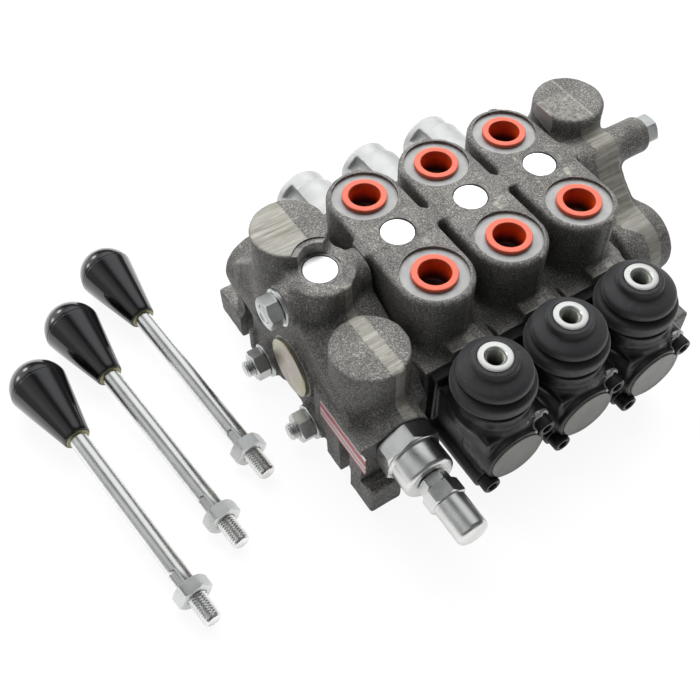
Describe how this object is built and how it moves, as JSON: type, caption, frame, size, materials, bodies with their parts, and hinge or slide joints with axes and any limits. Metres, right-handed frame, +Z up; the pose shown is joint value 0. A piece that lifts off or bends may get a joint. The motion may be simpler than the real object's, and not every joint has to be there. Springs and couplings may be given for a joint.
{
  "type": "hydraulic directional control valve",
  "caption": "Sectional hydraulic directional control valve with plugged work ports, lever hubs under rubber bellows, a relief cartridge and loose hand levers.",
  "frame": {"origin": "on the floor plane under the middle work section, on the line of the core plugs", "axes": "+X along the stack from inlet to outlet, +Y along the spools from the lever side to the spring caps, +Z up"},
  "size_m": [0.3768, 0.2799, 0.105],
  "materials": {
    "casting": "phosphated raw sand casting, grainy",
    "rubber": "moulded black rubber",
    "zinc_steel": "bright zinc plate",
    "yellow_zinc": "yellow passivated zinc",
    "label_red": "printed strip",
    "plug_orange": "soft moulded plastic",
    "plug_bright": "bright ground",
    "ground_steel": "ground and honed",
    "spring_steel": "oiled spring wire",
    "cap_aluminium": "die cast",
    "cover_aluminium": "stamped, matte",
    "black_screw": "black oxide",
    "box_black": "black die casting",
    "knob_black": "polished phenolic"
  },
  "bodies": {
    "valve_stack": {"inlet_section": "casting", "work_section_1": "casting", "work_section_2": "casting", "work_section_3": "casting", "outlet_section": "casting", "section_seals": "rubber", "tie_rods": "zinc_steel", "tie_rod_nuts": "zinc_steel", "tie_rod_washers": "zinc_steel", "inlet_end_plug": "yellow_zinc", "label_plate": "label_red", "port_plugs": "plug_orange", "core_plugs": "plug_bright", "check_springs": "spring_steel", "relief_body": "zinc_steel", "relief_locknut": "zinc_steel", "relief_cap_nut": "zinc_steel", "relief_spring": "spring_steel", "spool_seals": "rubber", "return_spring_1": "spring_steel", "return_spring_2": "spring_steel", "return_spring_3": "spring_steel", "spring_seats": "ground_steel", "spring_cap_1": "cap_aluminium", "spring_cap_2": "cap_aluminium", "spring_cap_3": "cap_aluminium", "spring_cap_screws": "black_screw", "lever_box_1": "box_black", "lever_box_2": "box_black", "lever_box_3": "box_black", "lever_box_covers": "cover_aluminium", "lever_box_screws": "black_screw", "pivot_pins": "ground_steel", "bellows_1": "rubber", "bellows_2": "rubber", "bellows_3": "rubber"},
    "hub_1": {"lever_hub_1": "zinc_steel"},
    "spool_1": {"spool_1": "ground_steel", "spool_end_screw_1": "ground_steel"},
    "check_1": {"check_poppet_1": "ground_steel"},
    "lever_1": {"lever_rod_1": "zinc_steel", "lever_knob_1": "knob_black", "lever_locknut_1": "zinc_steel"},
    "hub_2": {"lever_hub_2": "zinc_steel"},
    "spool_2": {"spool_2": "ground_steel", "spool_end_screw_2": "ground_steel"},
    "check_2": {"check_poppet_2": "ground_steel"},
    "lever_2": {"lever_rod_2": "zinc_steel", "lever_knob_2": "knob_black", "lever_locknut_2": "zinc_steel"},
    "hub_3": {"lever_hub_3": "zinc_steel"},
    "spool_3": {"spool_3": "ground_steel", "spool_end_screw_3": "ground_steel"},
    "check_3": {"check_poppet_3": "ground_steel"},
    "lever_3": {"lever_rod_3": "zinc_steel", "lever_knob_3": "knob_black", "lever_locknut_3": "zinc_steel"},
    "relief_poppet": {"relief_poppet": "ground_steel"},
    "relief_adjuster": {"relief_adjusting_screw": "ground_steel"}
  },
  "joints": [
    {"name": "lever_hub_1_swing", "type": "hinge", "parent": "valve_stack", "child": "hub_1", "pos_m": [-0.046, -0.0835, 0.058], "axis": [1, 0, 0], "range_deg": [-20, 20], "deforming": ["bellows_1"]},
    {"name": "spool_1_shift", "type": "slide", "parent": "valve_stack", "child": "spool_1", "axis": [0, 1, 0], "range_m": [-0.0065, 0.0065], "deforming": ["return_spring_1"]},
    {"name": "lever_hub_2_swing", "type": "hinge", "parent": "valve_stack", "child": "hub_2", "pos_m": [0, -0.0835, 0.058], "axis": [1, 0, 0], "range_deg": [-20, 20], "deforming": ["bellows_2"]},
    {"name": "spool_2_shift", "type": "slide", "parent": "valve_stack", "child": "spool_2", "axis": [0, 1, 0], "range_m": [-0.0065, 0.0065], "deforming": ["return_spring_2"]},
    {"name": "lever_hub_3_swing", "type": "hinge", "parent": "valve_stack", "child": "hub_3", "pos_m": [0.046, -0.0835, 0.058], "axis": [1, 0, 0], "range_deg": [-20, 20], "deforming": ["bellows_3"]},
    {"name": "spool_3_shift", "type": "slide", "parent": "valve_stack", "child": "spool_3", "axis": [0, 1, 0], "range_m": [-0.0065, 0.0065], "deforming": ["return_spring_3"]},
    {"name": "load_check_1_lift", "type": "slide", "parent": "valve_stack", "child": "check_1", "axis": [1, 0, 0], "range_m": [0, 0.004], "deforming": ["check_springs"]},
    {"name": "load_check_2_lift", "type": "slide", "parent": "valve_stack", "child": "check_2", "axis": [1, 0, 0], "range_m": [0, 0.004], "deforming": ["check_springs"]},
    {"name": "load_check_3_lift", "type": "slide", "parent": "valve_stack", "child": "check_3", "axis": [1, 0, 0], "range_m": [0, 0.004], "deforming": ["check_springs"]},
    {"name": "relief_poppet_lift", "type": "slide", "parent": "valve_stack", "child": "relief_poppet", "axis": [0, -1, 0], "range_m": [0, 0.0025], "deforming": ["relief_spring"]},
    {"name": "relief_screw_adjust", "type": "slide", "parent": "valve_stack", "child": "relief_adjuster", "axis": [0, 1, 0], "range_m": [-0.0015, 0.003], "deforming": ["relief_spring"]},
    {"name": "lever_1_lift_off", "type": "slide", "parent": "valve_stack", "child": "lever_1", "axis": [0, 0, 1], "range_m": [0, 0.1]},
    {"name": "lever_2_lift_off", "type": "slide", "parent": "valve_stack", "child": "lever_2", "axis": [0, 0, 1], "range_m": [0, 0.1]},
    {"name": "lever_3_lift_off", "type": "slide", "parent": "valve_stack", "child": "lever_3", "axis": [0, 0, 1], "range_m": [0, 0.1]}
  ],
  "couplings": [
    {"joint": "spool_1_shift", "follows": "lever_hub_1_swing", "m_per_rad": 0.0178},
    {"joint": "spool_2_shift", "follows": "lever_hub_2_swing", "m_per_rad": 0.0178},
    {"joint": "spool_3_shift", "follows": "lever_hub_3_swing", "m_per_rad": 0.0178}
  ]
}
